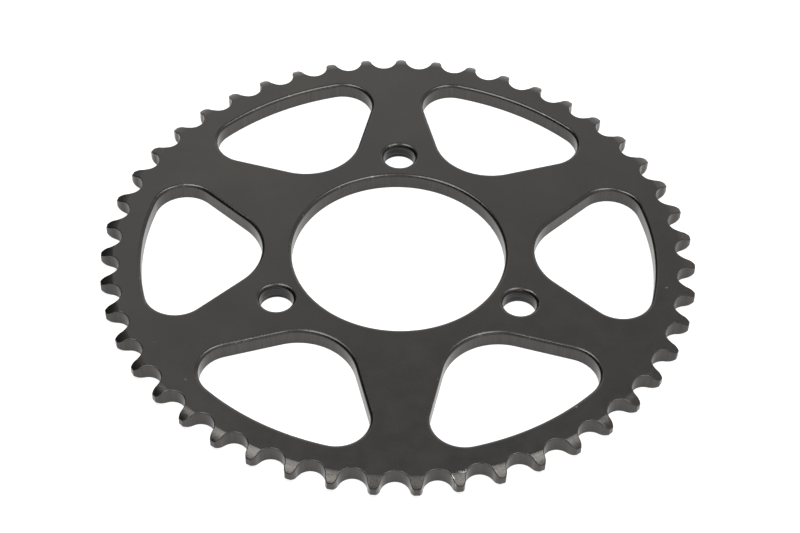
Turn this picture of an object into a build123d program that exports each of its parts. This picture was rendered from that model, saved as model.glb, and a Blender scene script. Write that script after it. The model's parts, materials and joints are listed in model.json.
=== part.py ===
"""Rear sprocket of a light motorcycle: one flat steel plate, toothed all round, that bolts onto a wheel hub.

Millimetres. Z is the wheel's axis, and z = 0 is the middle of the plate, where the chain runs. The face
at -Z lies on the hub, and the face at +Z is the outer one, under the bolt heads. One of the three bolt
holes is on +Y.
"""
import os
from math import acos, atan2, cos, hypot, pi, radians, sin, sqrt

from build123d import *

# Chain: half-inch pitch, as on light motorcycles
chain_pitch = 12.7
roller_diameter = 7.77

# Teeth
tooth_count = 47
tooth_phase = 1.67  # degrees from +X to the middle of the first gap between two teeth
seat_radius = 4.5  # the rounded bottom of a gap, a little wider than the roller
seat_half_angle = 80.8  # degrees of that arc, each side of the gap's middle
flank_radius = 3.94  # the shoulder of a tooth, which turns from the seat to the tip
tip_radius = 97.4
pitch_radius = chain_pitch / (2 * sin(pi / tooth_count))
root_radius = pitch_radius - roller_diameter / 2
edge_break = 0.25  # rounding of the long edges of the gaps

# Plate
thickness = 5.6
half_thickness = thickness / 2

# The teeth are thinner at their tips: a cone on each face starts here and is this deep at the tip
outer_bevel_start = 93.1
outer_bevel_depth = 1.45
hub_bevel_start = 94.4
hub_bevel_depth = 1.42

# Seat for the wheel hub
bore_radius = 35.1
bolt_count = 3
bolt_circle_diameter = 90.0
bolt_hole_radius = 5.5
bolt_phase = 90.0

# Lightening windows, one in each gap between two of the six spokes
window_count = 6
window_phase = 0.68
rim_width = 7.1  # between a window and the root circle of the teeth
window_outer_radius = root_radius - rim_width
window_apex = 36.2  # where the two straight sides of a window would meet
window_half_angle = 43.2  # degrees from the window's middle line to a straight side
window_nose_radius = 18.6
window_corner_radius = 10.3

# Rounding of the edges of the bore, bolt holes and windows: the punch enters at the outer face
punch_rounding = 0.8
exit_rounding = 0.2


def gap_outline():
    """The face of one gap between two teeth, with its middle line on +X, reaching past the tooth tips."""
    seat_centre = root_radius + seat_radius
    mouth_radius = tip_radius + 0.3  # the flanks run a little past the tips
    outside = tip_radius + 1
    flank_reach = seat_radius + flank_radius
    flank_x = seat_centre - flank_reach * cos(radians(seat_half_angle))
    flank_y = flank_reach * sin(radians(seat_half_angle))
    flank_distance = hypot(flank_x, flank_y)
    cosine = (flank_distance**2 + mouth_radius**2 - flank_radius**2) / (2 * flank_distance * mouth_radius)
    mouth_angle = atan2(flank_y, flank_x) - acos(cosine)
    mouth = (mouth_radius * cos(mouth_angle), mouth_radius * sin(mouth_angle))
    with BuildSketch() as gap:
        with BuildLine():
            seat = CenterArc((seat_centre, 0), seat_radius, 180, -seat_half_angle)
            TangentArc(seat @ 1, mouth, tangent=seat % 1)
            Polyline(mouth, (outside, mouth[1]), (outside, 0))
            mirror(about=Plane.XZ)
        make_face()
    return gap.sketch


def window_outline():
    """The face of one window, with its middle line on +X: a wedge with rounded corners and an arc outside."""
    slope = radians(window_half_angle)
    side_length = sqrt(window_outer_radius**2 - (window_apex * sin(slope)) ** 2) - window_apex * cos(slope)
    corner = Vector(window_apex + side_length * cos(slope), side_length * sin(slope))
    with BuildSketch() as window:
        with BuildLine():
            Line((window_apex, 0), corner)
            ThreePointArc(corner, (window_outer_radius, 0), (corner.X, -corner.Y))
            Line((corner.X, -corner.Y), (window_apex, 0))
        make_face()
        fillet(window.vertices().sort_by(Axis.X)[0], window_nose_radius)
        fillet(window.vertices().sort_by(Axis.X)[-2:], window_corner_radius)
    return window.sketch


def follows_gap(edge):
    """True for an edge along a gap's side, not one that stands upright or runs round the wheel's axis."""
    radii = [hypot(point.X, point.Y) for point in (edge @ 0, edge @ 0.5, edge @ 1)]
    return max(radii) - min(radii) > 0.01


gap = gap_outline()
window = window_outline()

with BuildPart() as sprocket_plate:
    # Turned blank, thinned towards its edge on both faces
    with BuildSketch(Plane.XZ):
        with BuildLine():
            Polyline(
                (0, -half_thickness),
                (hub_bevel_start, -half_thickness),
                (tip_radius, hub_bevel_depth - half_thickness),
                (tip_radius, half_thickness - outer_bevel_depth),
                (outer_bevel_start, half_thickness),
                (0, half_thickness),
                close=True,
            )
        make_face()
    revolve(axis=Axis.Z)

    # Bore and bolt holes
    Hole(bore_radius)
    with PolarLocations(bolt_circle_diameter / 2, bolt_count, start_angle=bolt_phase):
        Hole(bolt_hole_radius)

    # Windows
    with BuildSketch():
        with PolarLocations(0, window_count, start_angle=window_phase):
            add(window)
    extrude(amount=thickness, both=True, mode=Mode.SUBTRACT)

    # Rounded edges of all of these openings
    outer_face = sprocket_plate.faces().sort_by(Axis.Z)[-1]
    fillet([edge for wire in outer_face.inner_wires() for edge in wire.edges()], punch_rounding)
    hub_face = sprocket_plate.faces().sort_by(Axis.Z)[0]
    fillet([edge for wire in hub_face.inner_wires() for edge in wire.edges()], exit_rounding)

    # Teeth
    with BuildSketch():
        with PolarLocations(0, tooth_count, start_angle=tooth_phase):
            add(gap)
    extrude(amount=thickness, both=True, mode=Mode.SUBTRACT)
    fillet(sprocket_plate.edges(Select.LAST).filter_by(follows_gap), edge_break)

sprocket_plate.part.label = "sprocket_plate"

os.makedirs("parts", exist_ok=True)
export_step(sprocket_plate.part, "parts/sprocket_plate.step")
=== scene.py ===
"""The finished look of a motorcycle's rear sprocket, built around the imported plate.

The plate is remade as a clean mesh at the CAD model's sizes, with every edge rounded and a blackened steel
material. Two things differ from the CAD model: the punched edges are rolled over further, and the slopes at
the teeth are curved. Lengths are metres, given in millimetres where that reads better.
"""
import json
from math import acos, asin, atan2, cos, degrees, hypot, pi, radians, sin, sqrt, tan

import bpy
import numpy as np
from mathutils import Matrix, Vector
from mathutils.geometry import delaunay_2d_cdt


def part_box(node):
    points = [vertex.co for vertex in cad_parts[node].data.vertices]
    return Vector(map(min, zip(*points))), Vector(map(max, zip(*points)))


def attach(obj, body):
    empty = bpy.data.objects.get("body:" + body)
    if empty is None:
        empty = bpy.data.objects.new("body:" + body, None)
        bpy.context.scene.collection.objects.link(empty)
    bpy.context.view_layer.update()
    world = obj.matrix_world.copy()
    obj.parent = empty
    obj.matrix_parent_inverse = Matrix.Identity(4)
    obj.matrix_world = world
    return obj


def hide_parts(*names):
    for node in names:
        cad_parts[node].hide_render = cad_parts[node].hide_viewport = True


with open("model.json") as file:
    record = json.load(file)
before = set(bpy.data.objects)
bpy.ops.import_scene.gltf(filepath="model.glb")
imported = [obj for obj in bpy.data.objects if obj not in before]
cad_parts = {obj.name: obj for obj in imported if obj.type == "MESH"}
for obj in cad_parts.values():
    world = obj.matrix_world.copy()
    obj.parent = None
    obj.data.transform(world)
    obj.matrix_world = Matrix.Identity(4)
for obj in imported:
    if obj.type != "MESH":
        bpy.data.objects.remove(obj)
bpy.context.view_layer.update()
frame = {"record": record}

MM = 0.001

# ---------------------------------------------------------------- sizes

mounts = {mount["name"]: mount for mount in frame["record"]["mounts"]}
plate_low, plate_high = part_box("sprocket_plate")
hub_face_z = plate_low.z
outer_face_z = plate_high.z

# Teeth
chain_pitch = 12.7 * MM
roller_diameter = 7.77 * MM
tooth_count = mounts["chain_teeth"]["dims"]["count"]
tooth_phase = 1.67  # degrees from +X to the middle of the first gap
seat_radius = 4.5 * MM
seat_half_angle = 80.8  # degrees
flank_radius = 3.94 * MM
tip_radius = 97.4 * MM
tip_corner_radius = 0.35 * MM
pitch_radius = chain_pitch / (2 * sin(pi / tooth_count))
root_radius = pitch_radius - roller_diameter / 2
half_pitch = 180 / tooth_count  # degrees

# The faces fall away towards the tooth tips in an arc, from these radii and by these depths at the tips
outer_bevel = (93.1 * MM, 1.45 * MM)
hub_bevel = (94.4 * MM, 1.42 * MM)
bevel_arc_radius = chain_pitch
bevel_blend = 0.2 * MM  # half the width of the soft turn from face to slope

# Bore, bolt holes and windows
bore_radius = mounts["bore"]["dims"]["r_mm"] * MM
bolt_hole_radius = mounts["hub_bolts"]["dims"]["hole_r_mm"] * MM
bolt_circle_radius = mounts["hub_bolts"]["dims"]["pcd_mm"] / 2 * MM
bolt_count = mounts["hub_bolts"]["dims"]["count"]
bolt_phase = 90  # degrees
window_count = 6
window_phase = 0.68  # degrees
rim_width = 7.1 * MM  # between a window and the root circle of the teeth
window_outer_radius = root_radius - rim_width
window_apex = 36.2 * MM
window_half_angle = 43.2  # degrees
window_nose_radius = 18.6 * MM
window_corner_radius = 10.3 * MM

# Rounding of the edges, as (width, depth) at the outer face and at the hub face
tooth_rounding = ((0.3 * MM, 0.25 * MM), (0.25 * MM, 0.25 * MM))
punched_rounding = ((1.25 * MM, 1.0 * MM), (0.2 * MM, 0.2 * MM))
rounding_steps = 8
wall_steps = 4

# How strongly the walls of the turned openings show turning rings and painted shade, from 0 to 1; the painted
# shade is strongest in the narrow bolt holes
bore_rings_and_shade = 0.2
bolt_hole_rings_and_shade = 1.0

# Nicks and rubbed spots on the outer face: x, y, length and width in millimetres, angle in degrees, and
# how bare the steel is there
nicks = (
    (86.7, -15.0, 1.0, 0.5, 20, 0.6),
    (-65.2, -57.2, 0.9, 0.5, -40, 0.35),
    (54.7, -65.5, 0.9, 0.6, 45, 0.6),
    (-76.2, -42.2, 1.3, 0.4, 10, 0.12),
    (19.2, -91.1, 2.8, 0.6, -5, 1.0),
    (20.5, -90.5, 1.3, 0.6, 80, 0.8),
    (16.6, -92.9, 2.2, 0.5, -62, 1.0),
    (17.4, -94.9, 1.0, 0.5, -70, 0.7),
)


# ---------------------------------------------------------------- outlines

class Outline:
    """A closed line seen from above, anticlockwise, with the direction into the metal at each point."""

    def __init__(self, points, inwards, rounding, hole, crossed=None, rings_and_shade=0.0):
        self.points = points
        self.inwards = inwards
        self.rounding = rounding  # (width, depth) at the outer face and at the hub face
        self.hole = hole
        self.crossed = crossed  # for each point, the radius that it was added at, or 0
        # the rings on the wall are turning marks; its darkness is painted shade
        self.rings_and_shade = rings_and_shade  # how dark and ringed its wall is

    def inset(self, distance):
        return self.points + self.inwards * distance


def arc(centre, radius, start, sweep, steps, metal_outside):
    """Points on an arc, angles in degrees, and the directions into the metal."""
    angles = np.radians(start + sweep * np.arange(steps + 1) / steps)
    outwards = np.column_stack([np.cos(angles), np.sin(angles)])
    points = np.array(centre) + radius * outwards
    return points, outwards if metal_outside else -outwards


def chain(*pieces):
    """Runs of points and directions joined end to end, each without its first point after the first run."""
    points = np.vstack([pieces[0][0]] + [piece[0][1:] for piece in pieces[1:]])
    inwards = np.vstack([pieces[0][1]] + [piece[1][1:] for piece in pieces[1:]])
    return points, inwards


def mirrored_closed(points, inwards):
    """A half outline that starts and ends on the X axis, closed with its mirror image, anticlockwise."""
    flip = np.array([1, -1])
    points = np.vstack([points, (points * flip)[-2:0:-1]])
    inwards = np.vstack([inwards, (inwards * flip)[-2:0:-1]])
    following = np.roll(points, -1, axis=0)
    area = np.sum(points[:, 0] * following[:, 1] - following[:, 0] * points[:, 1])
    return (points, inwards) if area > 0 else (points[::-1], inwards[::-1])


def turned(vectors, angle):
    """Rows of 2-D vectors turned about the origin by an angle in degrees."""
    c, s = cos(radians(angle)), sin(radians(angle))
    return vectors @ np.array([[c, s], [-s, c]])


def circle_outline(centre, radius, steps, rings_and_shade):
    points, inwards = arc(centre, radius, 0, 360, steps, metal_outside=True)
    return Outline(points[:-1], inwards[:-1], punched_rounding, hole=True, rings_and_shade=rings_and_shade)


def half_gap():
    """Half of a gap between two teeth, from its middle on +X to the middle of the next tooth's tip."""
    seat_centre = np.array([root_radius + seat_radius, 0])
    seat_end = 180 - seat_half_angle
    reach = seat_radius + flank_radius
    flank_centre = seat_centre + reach * np.array([cos(radians(seat_end)), sin(radians(seat_end))])
    # The small arc at the tip's corner touches the flank's arc and the tip circle from inside
    from_flank = flank_radius - tip_corner_radius
    from_axis = tip_radius - tip_corner_radius
    distance = hypot(*flank_centre)
    cosine = (distance**2 + from_axis**2 - from_flank**2) / (2 * distance * from_axis)
    corner_angle = degrees(atan2(flank_centre[1], flank_centre[0]) - acos(cosine))
    corner_centre = from_axis * np.array([cos(radians(corner_angle)), sin(radians(corner_angle))])
    flank_end = degrees(atan2(*(corner_centre - flank_centre)[::-1]))
    seat = arc(seat_centre, seat_radius, 180, -seat_half_angle, 16, metal_outside=True)
    flank_start = seat_end - 180
    flank = arc(flank_centre, flank_radius, flank_start, flank_end - flank_start, 8, metal_outside=False)
    corner_sweep = corner_angle - flank_end
    corner = arc(corner_centre, tip_corner_radius, flank_end, corner_sweep, 5, metal_outside=False)
    tip = arc((0, 0), tip_radius, corner_angle, half_pitch - corner_angle, 2, metal_outside=False)
    return chain(seat, flank, corner, tip)


def tooth_outline():
    """The whole toothed rim."""
    points, inwards = half_gap()
    flip = np.array([1, -1])
    gap_points = np.vstack([(points * flip)[:0:-1], points[:-1]])
    gap_inwards = np.vstack([(inwards * flip)[:0:-1], inwards[:-1]])
    angles = [tooth_phase + 2 * half_pitch * k for k in range(tooth_count)]
    all_points = np.vstack([turned(gap_points, angle) for angle in angles])
    all_inwards = np.vstack([turned(gap_inwards, angle) for angle in angles])
    return Outline(all_points, all_inwards, tooth_rounding, hole=False)


def window_outline(angle):
    """One window: a wedge with a large rounded nose towards the bore and an arc along the rim."""
    slope = radians(window_half_angle)
    along = np.array([cos(slope), sin(slope)])
    across = np.array([-sin(slope), cos(slope)])
    nose_centre = np.array([window_apex + window_nose_radius / sin(slope), 0])
    # The corner's circle touches the straight side and the outer arc
    base = np.array([window_apex + window_corner_radius / sin(slope), 0])
    along_base = base @ along
    reach = sqrt(along_base**2 - base @ base + (window_outer_radius - window_corner_radius) ** 2) - along_base
    corner_centre = base + reach * along
    corner_angle = degrees(atan2(corner_centre[1], corner_centre[0]))
    side_angle = 90 + window_half_angle
    nose = arc(nose_centre, window_nose_radius, 180, side_angle - 180, 20, metal_outside=True)
    side_start = nose_centre + window_nose_radius * across
    side_end = corner_centre + window_corner_radius * across
    shares = np.linspace(0, 1, 7)[:, None]
    side = (side_start + (side_end - side_start) * shares, np.repeat(across[None], len(shares), axis=0))
    corner_sweep = corner_angle - side_angle
    corner = arc(corner_centre, window_corner_radius, side_angle, corner_sweep, 24, metal_outside=True)
    rim = arc((0, 0), window_outer_radius, corner_angle, -corner_angle, 24, metal_outside=True)
    points, inwards = mirrored_closed(*chain(nose, side, corner, rim))
    return Outline(turned(points, angle), turned(inwards, angle), punched_rounding, hole=True)


# ---------------------------------------------------------------- the plate's mesh

def face_drop(radius, bevel):
    """How far a face lies below its flat level at a radius, and its slope there."""
    start, depth = bevel
    chord = hypot(tip_radius - start, depth)
    first_turn = atan2(depth, tip_radius - start) - asin(chord / 2 / bevel_arc_radius)
    past = radius - start
    blend = np.clip((past + bevel_blend) / (2 * bevel_blend), 0, 1)
    ramp = np.where(past > bevel_blend, past, bevel_blend * blend**2)
    # What the arc adds to a straight slope at its own first angle
    past = np.maximum(past, 0)
    turn = np.arcsin(sin(first_turn) + past / bevel_arc_radius)
    bend = bevel_arc_radius * (cos(first_turn) - np.cos(turn)) - tan(first_turn) * past
    return tan(first_turn) * ramp + bend, tan(first_turn) * (blend - 1) + np.tan(turn)


def face_points(flat, upper):
    """Heights and normals of points on the outer face (upper) or the hub face."""
    radius = np.hypot(flat[:, 0], flat[:, 1])
    drop, slope = face_drop(radius, outer_bevel if upper else hub_bevel)
    sign = 1 if upper else -1
    height = (outer_face_z if upper else hub_face_z) - sign * drop
    normals = np.column_stack([flat * (slope / radius)[:, None], np.full(len(flat), float(sign))])
    return height, normals / np.linalg.norm(normals, axis=1)[:, None]


def with_crossings(outline, radii):
    """The outline with a point added wherever its rounded face edge crosses one of the radii."""
    edge = outline.inset(outline.rounding[0][0])
    distance = np.hypot(edge[:, 0], edge[:, 1])
    points, inwards, crossed = [], [], []
    for i in range(len(edge)):
        j = (i + 1) % len(edge)
        points.append(outline.points[i])
        inwards.append(outline.inwards[i])
        crossed.append(0)
        between = [r for r in radii if (distance[i] - r) * (distance[j] - r) < 0]
        for r in sorted(between, reverse=bool(distance[j] < distance[i])):
            share = (r - distance[i]) / (distance[j] - distance[i])
            points.append(outline.points[i] + share * (outline.points[j] - outline.points[i]))
            inward = outline.inwards[i] + share * (outline.inwards[j] - outline.inwards[i])
            inwards.append(inward / hypot(*inward))
            crossed.append(r)
    return Outline(np.array(points), np.array(inwards), outline.rounding, outline.hole, np.array(crossed))


def wall_rings(outline):
    """Rings of points from the outer face, down the wall, to the hub face.

    Each ring is its places, its normals, its edge mark and its wall mark.
    """
    turns = np.linspace(0, pi / 2, rounding_steps + 1)
    rings = []
    for upper in (True, False):
        width, depth = outline.rounding[0 if upper else 1]
        side = []
        for turn in turns:
            flat = outline.inset(width * (1 - sin(turn)))
            height, normal = face_points(flat, upper)
            height = height - (1 if upper else -1) * depth * (1 - cos(turn))
            outwards = np.column_stack([-outline.inwards, np.zeros(len(flat))])
            normal = normal * (width * cos(turn)) + outwards * (depth * sin(turn))
            normal = normal / np.linalg.norm(normal, axis=1)[:, None]
            place = np.column_stack([flat, height])
            side.append((place, normal, sin(2 * turn), sin(turn)))
        rings.append(side if upper else side[::-1])
    upper_rings, lower_rings = rings
    top_place, wall_normal, _, _ = upper_rings[-1]
    low_place = lower_rings[0][0]
    middle = []
    for step in range(1, wall_steps):
        share = step / wall_steps
        middle.append((top_place + (low_place - top_place) * share, wall_normal, 0.0, 1.0))
    return upper_rings + middle + lower_rings


def tooth_ring_points(rim, edge, radius, steps=5):
    """Arcs across every tooth at a radius: pairs of points on the rim's edge, and the points between them."""
    distance = np.hypot(edge[:, 0], edge[:, 1])
    crossings = np.flatnonzero(rim.crossed == radius)
    rising = [i for i in crossings if distance[(i + 1) % len(edge)] > distance[i]]
    falling = [i for i in crossings if distance[(i + 1) % len(edge)] < distance[i]]
    arcs = []
    for i in rising:
        start = atan2(edge[i, 1], edge[i, 0])
        ahead = [(atan2(edge[j, 1], edge[j, 0]) - start) % (2 * pi) for j in falling]
        sweep = min(ahead)
        j = falling[ahead.index(sweep)]
        angles = start + sweep * np.arange(1, steps) / steps
        arcs.append((i, j, radius * np.column_stack([np.cos(angles), np.sin(angles)])))
    return arcs


def inner_grid(outlines, spacing=2.6 * MM, clear=2.2 * MM):
    """A staggered grid of points on the flat part of the plate, clear of every outline."""
    limit = root_radius - clear
    rows = int(2 * limit / (spacing * sqrt(3) / 2)) + 1
    grid = []
    for row in range(rows):
        y = -limit + row * spacing * sqrt(3) / 2
        for column in range(int(2 * limit / spacing) + 1):
            grid.append((-limit + (column + 0.5 * (row % 2)) * spacing, y))
    grid = np.array(grid)
    grid = grid[np.hypot(grid[:, 0], grid[:, 1]) < limit]
    edges = np.vstack([outline.points for outline in outlines])
    keep = []
    for point in grid:
        gaps = edges - point
        keep.append(np.min(np.einsum("ij,ij->i", gaps, gaps)) > clear**2)
    return grid[np.array(keep)]


def fill_face(outlines, upper):
    """The loose inner points of one face, and its triangles.

    A triangle counts through the points of every edge first, and then through the inner points.
    """
    edges = [outline.inset(outline.rounding[0 if upper else 1][0]) for outline in outlines]
    flat = np.vstack(edges)
    starts = np.cumsum([0] + [len(edge) for edge in edges])
    loops = [list(range(starts[k], starts[k + 1])) for k in range(len(edges))]
    inner = [inner_grid(outlines)]
    links = []
    count = len(flat) + len(inner[0])
    for radius in bevel_radii(outer_bevel if upper else hub_bevel):
        for i, j, between in tooth_ring_points(outlines[0], edges[0], radius):
            path = [i, *range(count, count + len(between)), j]
            links += list(zip(path[:-1], path[1:]))
            inner.append(between)
            count += len(between)
    inner = np.vstack(inner)
    places = [Vector(p) for p in np.vstack([flat, inner]) / MM]
    made = delaunay_2d_cdt(places, links, loops, 0, 1e-6, True)
    out_places, _, out_faces, source, _, owners = made
    if len(out_places) != len(places):
        raise ValueError("the face's outlines cross each other")
    names = [ids[0] for ids in source]
    triangles = [[names[v] for v in face] for face, owner in zip(out_faces, owners) if owner == [0]]
    return inner, triangles


def bevel_radii(bevel):
    """Radii across the teeth where a face's slope changes or needs a row of points."""
    start = bevel[0]
    length = tip_radius - start
    offsets = (-bevel_blend, 0, bevel_blend, length / 4, length / 2, length * 3 / 4)
    return [round(start + offset, 7) for offset in offsets]


def build_plate():
    """The whole plate as one closed mesh with smooth, exact normals and marks for edges and walls."""
    rim = with_crossings(tooth_outline(), sorted({*bevel_radii(outer_bevel), *bevel_radii(hub_bevel)}))
    outlines = [rim, circle_outline((0, 0), bore_radius, 240, bore_rings_and_shade)]
    for k in range(bolt_count):
        angle = radians(bolt_phase + 360 / bolt_count * k)
        centre = (bolt_circle_radius * cos(angle), bolt_circle_radius * sin(angle))
        outlines.append(circle_outline(centre, bolt_hole_radius, 72, bolt_hole_rings_and_shade))
    outlines += [window_outline(window_phase + 360 / window_count * k) for k in range(window_count)]

    places, normals, edge_marks, wall_marks, rings_and_shade_marks, faces = [], [], [], [], [], []
    top_ids, low_ids = [], []
    count = 0
    for outline in outlines:
        rings = wall_rings(outline)
        around = len(outline.points)
        for place, normal, edge_mark, wall_mark in rings:
            places.append(place)
            normals.append(normal)
            edge_marks.append(np.full(around, edge_mark))
            wall_marks.append(np.full(around, wall_mark))
            # turning rings and painted shade, strongest down the middle of the wall
            rings_and_shade_marks.append(np.full(around, wall_mark**4 * outline.rings_and_shade))
        for ring in range(len(rings) - 1):
            upper_start = count + ring * around
            lower_start = upper_start + around
            for i in range(around):
                j = (i + 1) % around
                quad = (lower_start + i, lower_start + j, upper_start + j, upper_start + i)
                faces.append(quad[::-1] if outline.hole else quad)
        top_ids += range(count, count + around)
        low_ids += range(count + (len(rings) - 1) * around, count + len(rings) * around)
        count += len(rings) * around

    for upper, edge_ids in ((True, top_ids), (False, low_ids)):
        inner, triangles = fill_face(outlines, upper)
        ids = edge_ids + list(range(count, count + len(inner)))
        height, normal = face_points(inner, upper)
        places.append(np.column_stack([inner, height]))
        normals.append(normal)
        for marks in (edge_marks, wall_marks, rings_and_shade_marks):
            marks.append(np.zeros(len(inner)))
        count += len(inner)
        for a, b, c in triangles:
            faces.append((ids[a], ids[b], ids[c]) if upper else (ids[c], ids[b], ids[a]))

    mesh = bpy.data.meshes.new("sprocket")
    mesh.from_pydata(np.vstack(places).tolist(), [], faces)
    mesh.validate()
    for name, marks in (("edge_mark", edge_marks), ("wall_mark", wall_marks), ("rings_and_shade", rings_and_shade_marks)):
        layer = mesh.attributes.new(name, "FLOAT", "POINT")
        layer.data.foreach_set("value", np.concatenate(marks).astype(np.float32))
    mesh.shade_smooth()
    mesh.normals_split_custom_set_from_vertices(np.vstack(normals).tolist())
    plate = bpy.data.objects.new("sprocket", mesh)
    bpy.context.scene.collection.objects.link(plate)
    return plate


# ---------------------------------------------------------------- materials

class Nodes:
    """Shorthand for building a node tree."""

    def __init__(self, tree):
        self.tree = tree

    def add(self, kind, inputs=(), **settings):
        node = self.tree.nodes.new(kind)
        for key, value in settings.items():
            setattr(node, key, value)
        for key, value in dict(inputs).items():
            self.feed(node.inputs[key], value)
        return node

    def feed(self, socket, value):
        if isinstance(value, bpy.types.NodeSocket):
            self.tree.links.new(value, socket)
        else:
            socket.default_value = value

    def maths(self, operation, a, b):
        return self.add("ShaderNodeMath", {0: a, 1: b}, operation=operation).outputs[0]

    def noise(self, vector, scale, detail=3.0, roughness=0.5):
        inputs = {"Vector": vector, "Scale": scale, "Detail": detail, "Roughness": roughness}
        return self.add("ShaderNodeTexNoise", inputs).outputs[0]

    def remap(self, value, low, high, to_low=0.0, to_high=1.0, kind="LINEAR"):
        inputs = {"Value": value, "From Min": low, "From Max": high, "To Min": to_low, "To Max": to_high}
        return self.add("ShaderNodeMapRange", inputs, interpolation_type=kind).outputs[0]

    def stretched(self, vector, scale):
        return self.add("ShaderNodeMapping", {"Vector": vector, "Scale": scale}).outputs[0]

    def mix(self, factor, a, b):
        node = self.add("ShaderNodeMix", {0: factor}, data_type="RGBA")
        self.feed(node.inputs[6], a)
        self.feed(node.inputs[7], b)
        return node.outputs[2]

    def attribute(self, name):
        return self.add("ShaderNodeAttribute", attribute_name=name).outputs["Fac"]


def new_material(name):
    material = bpy.data.materials.new(name)
    material.use_nodes = True
    nodes = Nodes(material.node_tree)
    return material, nodes, material.node_tree.nodes["Principled BSDF"]


def grey(level, warmth=0.05):
    return (level * (1 + warmth), level, level * (1 - warmth), 1)


def bare_spots(n, place):
    """How bare the steel is: 0 except inside the nicks and rubbed spots, which have ragged borders."""
    ragged = n.remap(n.noise(place, 2500, detail=2), 0.3, 0.7, -0.5, 0.5)
    spot_depth = 3 * MM  # deep enough to reach the sloping faces of the teeth
    bare = 0.0
    for x, y, length, width, angle, bareness in nicks:
        inputs = {
            "Vector": place,
            "Location": (x * MM, y * MM, outer_face_z),
            "Rotation": (0, 0, radians(angle)),
            "Scale": (length / 2 * MM, width / 2 * MM, spot_depth),
        }
        local = n.add("ShaderNodeMapping", inputs, vector_type="TEXTURE").outputs[0]
        distance = n.add("ShaderNodeVectorMath", {0: local}, operation="LENGTH").outputs["Value"]
        spot = n.remap(n.maths("ADD", distance, ragged), 0.7, 1.1, bareness, 0)
        bare = n.maths("MAXIMUM", bare, spot)
    return bare


def blackened_steel():
    """Oil-blackened steel: a dark satin skin, mottled and faintly scratched, worn brighter at the edges, with
    turning rings and painted shade on the walls of the bolt holes and the bore.
    """
    material, n, shader = new_material("blackened_steel")
    place = n.add("ShaderNodeTexCoord").outputs["Object"]
    edge = n.attribute("edge_mark")
    wall = n.attribute("wall_mark")
    hole_wall_shade_and_rings = n.attribute("rings_and_shade")

    blotches = n.noise(place, 45, detail=4)
    grain = n.noise(place, 1400, detail=2, roughness=0.6)
    skin = n.mix(n.remap(blotches, 0.35, 0.65), grey(0.063, 0.02), grey(0.069, 0.07))
    skin = n.mix(n.remap(grain, 0.25, 0.75, 0.0, 0.03), skin, grey(0.09))
    streaks = n.noise(n.stretched(place, (1, 1, 0.1)), 1100, detail=3)
    punched = n.mix(n.remap(streaks, 0.3, 0.7), grey(0.056), grey(0.068, 0.06))
    skin = n.mix(wall, skin, punched)
    # The walls of the turned openings: rings from turning, in colours painted darker as the shade that falls
    # inside the narrow bolt holes
    rings = n.noise(n.stretched(place, (0.04, 0.04, 1)), 1400, detail=2)
    rings_with_painted_shade = n.mix(n.remap(rings, 0.4, 0.6), grey(0.018, 0.01), grey(0.050, 0.01))
    skin = n.mix(hole_wall_shade_and_rings, skin, rings_with_painted_shade)

    # Lathe marks on the sides of the teeth: rings about the plate's axis, a little browner than the faces
    flat_place = n.add("ShaderNodeVectorMath", {0: place, 1: (1, 1, 0)}, operation="MULTIPLY").outputs[0]
    radius = n.add("ShaderNodeVectorMath", {0: flat_place}, operation="LENGTH").outputs["Value"]
    past_bevel = n.remap(radius, 93.0 * MM, 93.6 * MM)
    turned_face = n.maths("MULTIPLY", past_bevel, n.maths("SUBTRACT", 1.0, wall))
    wavering = n.maths("MULTIPLY", radius, blotches)
    ring_place = n.add("ShaderNodeCombineXYZ", {0: radius, 1: wavering}).outputs[0]
    lathe = n.noise(ring_place, 1800, detail=3)
    browned = n.mix(n.remap(lathe, 0.35, 0.65), grey(0.046, 0.08), grey(0.078, 0.05))
    skin = n.mix(turned_face, skin, browned)

    # Worn edges and nicks show bare steel
    bare_steel = grey(0.30, 0.04)
    wear = n.remap(n.noise(place, 520, detail=4), 0.60, 0.70)
    wear = n.maths("MULTIPLY", wear, n.remap(edge, 0.3, 0.9))
    bare = n.maths("MAXIMUM", bare_spots(n, place), n.maths("MULTIPLY", wear, 0.25))
    n.feed(shader.inputs["Base Color"], n.mix(bare, skin, bare_steel))
    shader.inputs["Metallic"].default_value = 1.0

    rough = n.remap(n.noise(place, 160, detail=5), 0.3, 0.7, 0.25, 0.30)
    rough = n.maths("MULTIPLY", rough, n.remap(edge, 0.0, 1.0, 1.0, 0.88))
    n.feed(shader.inputs["Roughness"], rough)

    # Relief of the streaks, the rings and the lathe marks, and the hollows of the nicks
    marks = n.maths("MULTIPLY", n.maths("MULTIPLY", streaks, wall), 0.2)
    marks = n.maths("ADD", marks, n.maths("MULTIPLY", rings, hole_wall_shade_and_rings))
    marks = n.maths("ADD", marks, n.maths("MULTIPLY", n.maths("MULTIPLY", lathe, turned_face), 0.5))
    height = n.maths("ADD", n.maths("MULTIPLY", grain, 0.04), marks)
    height = n.maths("SUBTRACT", height, n.maths("MULTIPLY", bare, 0.5))
    bump = n.add("ShaderNodeBump", {"Height": height, "Strength": 0.3, "Distance": 0.06 * MM})
    n.feed(shader.inputs["Normal"], bump.outputs[0])
    return material


def light_table():
    """White acrylic, lit from below as well as from above, so that the plate throws no dark shadow on it."""
    material, _, shader = new_material("light_table")
    shader.inputs["Base Color"].default_value = grey(0.5, 0.0)
    shader.inputs["Roughness"].default_value = 0.9
    shader.inputs["Emission Color"].default_value = (1, 1, 1, 1)
    shader.inputs["Emission Strength"].default_value = 0.8
    return material


# ---------------------------------------------------------------- studio

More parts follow.
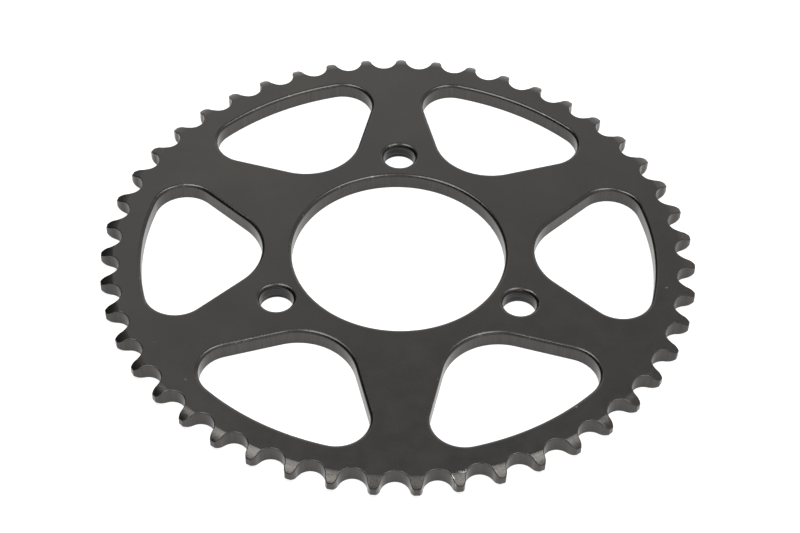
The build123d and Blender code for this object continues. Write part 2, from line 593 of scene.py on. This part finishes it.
def make_camera():
    """A long lens in front of the plate and above it, a little rolled."""
    elevation, azimuth, roll = radians(46.33), radians(-0.89), radians(1.64)
    distance = 633.8 * MM
    aim = Vector((0.5 * MM, -7.66 * MM, outer_face_z))
    data = bpy.data.cameras.new("camera")
    data.sensor_width = 36
    data.lens = 87.68
    camera = bpy.data.objects.new("camera", data)
    turn = Matrix.Rotation(azimuth, 4, "Z") @ Matrix.Rotation(pi / 2 - elevation, 4, "X")
    turn = turn @ Matrix.Rotation(roll, 4, "Z")
    camera.matrix_world = Matrix.Translation(aim) @ turn @ Matrix.Translation((0, 0, distance))
    bpy.context.scene.collection.objects.link(camera)
    bpy.context.scene.camera = camera


def make_softbox(name, place, width, length, power):
    """A softbox hung level over the table, its width along X."""
    data = bpy.data.lights.new(name, "AREA")
    data.shape = "RECTANGLE"
    data.size = width
    data.size_y = length
    data.energy = power
    lamp = bpy.data.objects.new(name, data)
    lamp.location = place
    bpy.context.scene.collection.objects.link(lamp)


def make_floor():
    mesh = bpy.data.meshes.new("floor")
    half = 3.0  # metres, far past the edges of the picture
    corners = [(-half, -half), (half, -half), (half, half), (-half, half)]
    mesh.from_pydata([(x, y, hub_face_z) for x, y in corners], [], [(0, 1, 2, 3)])
    floor = bpy.data.objects.new("floor", mesh)
    floor.data.materials.append(light_table())
    bpy.context.scene.collection.objects.link(floor)


def make_world():
    """A room that is darker on the left and overhead, with a lit wall behind the plate and one in front."""
    world = bpy.data.worlds.new("studio")
    world.use_nodes = True
    n = Nodes(world.node_tree)
    direction = n.add("ShaderNodeTexCoord").outputs["Generated"]
    side, ahead, up = n.add("ShaderNodeSeparateXYZ", {0: direction}).outputs
    azimuth = n.maths("ARCTAN2", side, ahead)

    # The wall behind: its top edge slopes, its ends fade out, and it is brighter on the left
    slanted_up = n.maths("ADD", up, n.maths("MULTIPLY", side, 0.35))
    wall = n.remap(slanted_up, 0.675, 0.775, 0.86, 0.0)
    left_end = n.remap(azimuth, radians(-32), radians(-18), 0, 1, "SMOOTHSTEP")
    right_end = n.remap(azimuth, radians(25), radians(50), 1, 0, "SMOOTHSTEP")
    wall = n.maths("MULTIPLY", wall, n.maths("MULTIPLY", left_end, right_end))
    wall = n.maths("MULTIPLY", wall, n.remap(side, -0.4, 0.4, 1.2, 0.8))

    # The room, and the wall in front
    room = n.remap(side, -0.6, 0.6, 0.08, 0.75)
    room = n.maths("MULTIPLY", room, n.remap(up, 0.70, 0.95, 1.0, 0.3))
    front = n.remap(ahead, -0.3, -0.8, 0.0, 0.5)
    room = n.maths("ADD", room, front)
    background = world.node_tree.nodes["Background"]
    background.inputs[0].default_value = (1, 1, 1, 1)
    n.feed(background.inputs[1], n.maths("ADD", wall, room))
    bpy.context.scene.world = world


bpy.context.scene.view_settings.view_transform = "Standard"
make_camera()
make_world()
make_softbox("left_softbox", (-0.36, 0.03, 1.14), 0.43, 0.90, 7.0)
make_softbox("right_softbox", (0.36, 0.01, 1.14), 0.43, 0.84, 6.1)
make_floor()

plate = build_plate()
plate.data.materials.append(blackened_steel())
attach(plate, "root")
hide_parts("sprocket_plate")
